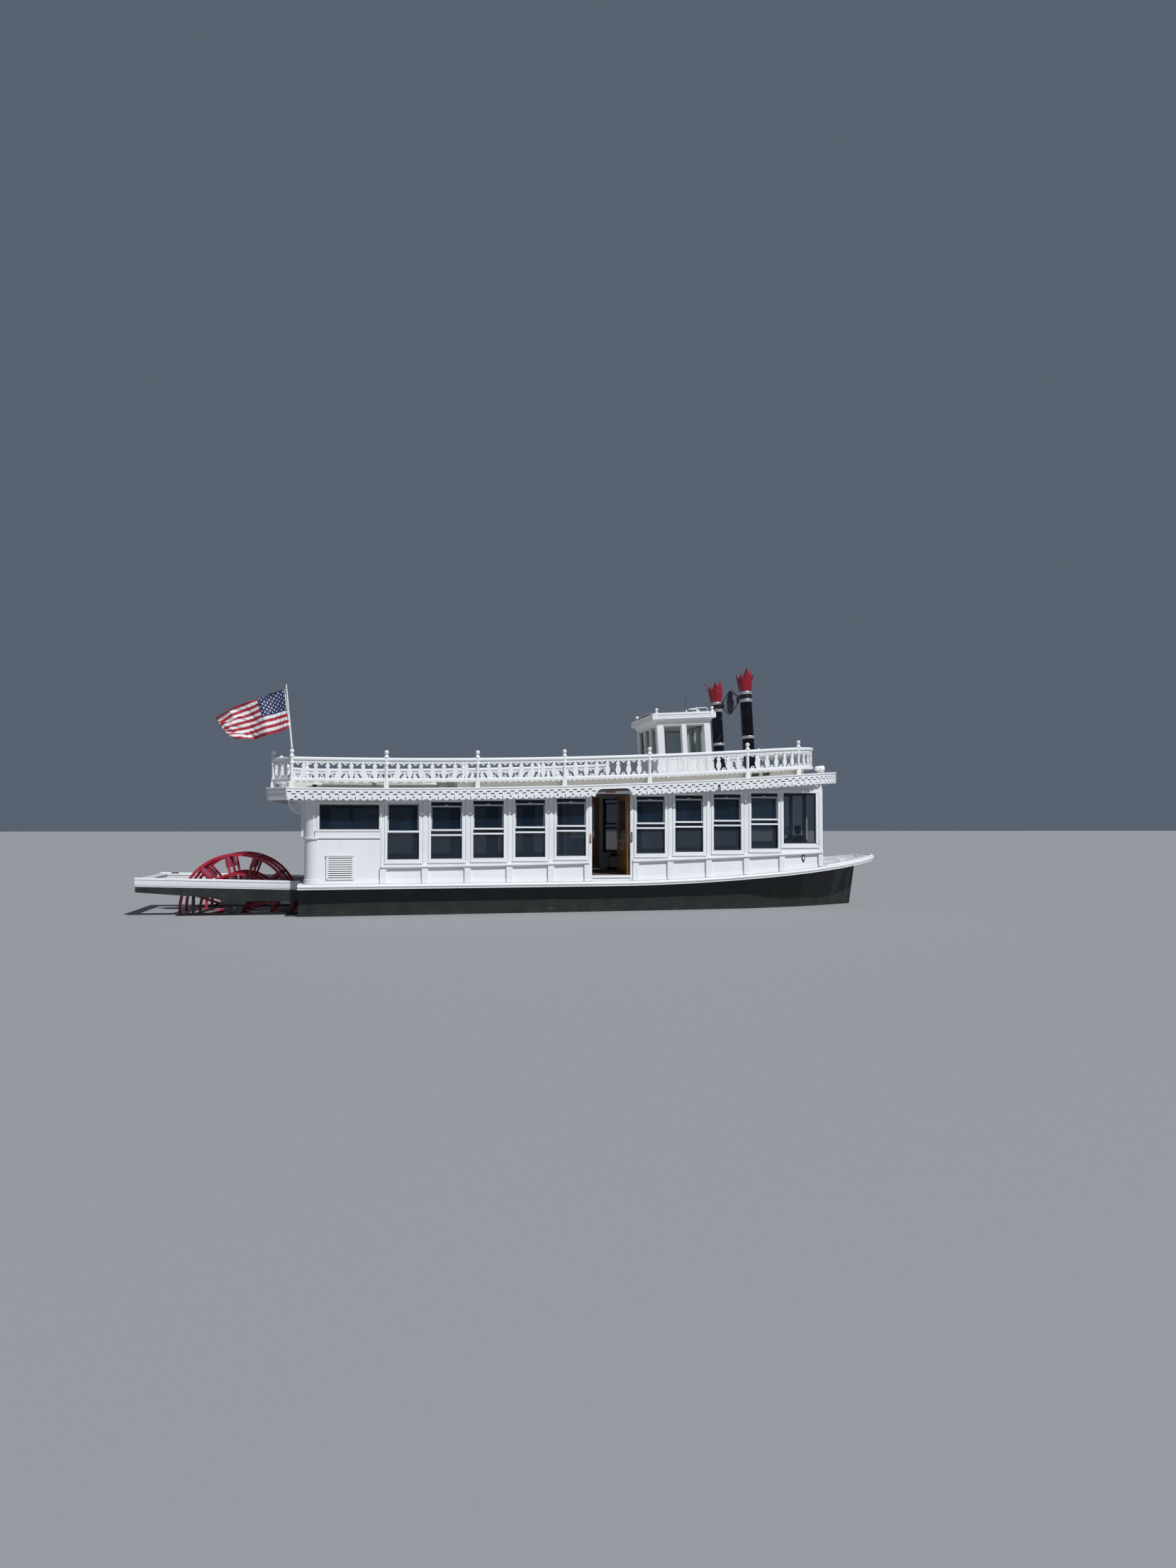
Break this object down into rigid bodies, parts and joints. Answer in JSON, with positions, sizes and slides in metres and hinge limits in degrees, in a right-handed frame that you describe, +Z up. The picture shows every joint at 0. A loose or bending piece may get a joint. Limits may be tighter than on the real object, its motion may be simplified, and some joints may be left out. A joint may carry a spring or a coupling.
{
  "type": "sternwheel paddle boat",
  "caption": "Sternwheel paddle boat: shallow hull, long glazed cabin with fretwork eaves, railed roof with wheelhouse and crowned stacks, spoked stern wheel.",
  "frame": {"origin": "amidships on the centreline at the waterline", "axes": "+X towards the bow, +Y to port, +Z up"},
  "size_m": [17.51, 5.6798, 6.8708],
  "materials": {
    "hull_paint": "satin charcoal hull paint, worn at the edges",
    "white_paint": "cool white gloss paint on wood",
    "cream_paint": "cream deck paint",
    "floor_board": "painted board",
    "seat_vinyl": "dark red seat covering",
    "console_black": "black helm console",
    "engine_metal": "grey engine block",
    "varnished_wood": "orange-brown gloss varnish",
    "window_glass": "clear glass that looks dark",
    "stack_navy": "gloss navy-black with silver bands",
    "crimson_paint": "crimson gloss paint",
    "black_iron": "black painted iron",
    "flag_cloth": "red, white and blue woven nylon"
  },
  "bodies": {
    "boat": {"bench_port_aft": "seat_vinyl", "bench_port_fwd": "seat_vinyl", "bench_starboard_aft": "seat_vinyl", "bench_starboard_fwd": "seat_vinyl", "bulkhead_aft": "white_paint", "cabin_sole": "floor_board", "cabin_wall_aft": "white_paint", "cabin_wall_front": "white_paint", "cabin_wall_port": "white_paint", "cabin_wall_starboard": "white_paint", "eave_fascia": "white_paint", "engine_block": "engine_metal", "flag": "flag_cloth", "flagpole": "white_paint", "glazing_front": "window_glass", "glazing_port_aft": "window_glass", "glazing_port_fwd": "window_glass", "glazing_starboard_aft": "window_glass", "glazing_starboard_fwd": "window_glass", "helm_console": "console_black", "helm_platform": "floor_board", "hull": "hull_paint", "main_deck": "white_paint", "platform_beam_port": "white_paint", "platform_beam_starboard": "white_paint", "platform_end_beam": "white_paint", "railing_aft": "white_paint", "railing_front_port": "white_paint", "railing_front_starboard": "white_paint", "railing_port": "white_paint", "railing_starboard": "white_paint", "roof": "white_paint", "roof_coaming": "cream_paint", "searchlight": "white_paint", "shaft_bearing_port": "black_iron", "shaft_bearing_starboard": "black_iron", "smokestack_port": "stack_navy", "smokestack_starboard": "stack_navy", "stack_crown_port": "crimson_paint", "stack_crown_starboard": "crimson_paint", "stack_ornament": "black_iron", "vent_louvre_port": "white_paint", "vent_louvre_starboard": "white_paint", "wheel_beam_port": "black_iron", "wheel_beam_starboard": "black_iron", "wheelhouse_glazing": "window_glass", "wheelhouse_roof": "white_paint", "wheelhouse_walls": "white_paint"},
    "paddle_wheel": {"wheel_frame_starboard": "crimson_paint", "wheel_frame_middle": "crimson_paint", "wheel_frame_port": "crimson_paint", "wheel_shaft": "black_iron"},
    "starboard_door": {"door_starboard": "varnished_wood"},
    "port_door": {"door_port": "varnished_wood"},
    "starboard_rudder": {"rudder_starboard": "black_iron"},
    "port_rudder": {"rudder_port": "black_iron"}
  },
  "joints": [
    {"name": "paddle_wheel_spin", "type": "hinge", "parent": "boat", "child": "paddle_wheel", "pos_m": [-6.72, 0, 0.1], "axis": [0, 1, 0], "continuous": true},
    {"name": "starboard_door_hinge", "type": "hinge", "parent": "boat", "child": "starboard_door", "pos_m": [2.055, -1.85054, 1.7], "axis": [0, 0, 1], "range_deg": [0, 90]},
    {"name": "port_door_hinge", "type": "hinge", "parent": "boat", "child": "port_door", "pos_m": [2.055, 1.85054, 1.7], "axis": [0, 0, 1], "range_deg": [0, 90]},
    {"name": "starboard_rudder_turn", "type": "hinge", "parent": "boat", "child": "starboard_rudder", "pos_m": [-4.85, -0.8, -0.45], "axis": [0, 0, 1], "range_deg": [-35, 35]},
    {"name": "port_rudder_turn", "type": "hinge", "parent": "boat", "child": "port_rudder", "pos_m": [-4.85, 0.8, -0.45], "axis": [0, 0, 1], "range_deg": [-35, 35]}
  ],
  "couplings": [
    {"joint": "port_rudder_turn", "follows": "starboard_rudder_turn", "ratio": 1}
  ]
}
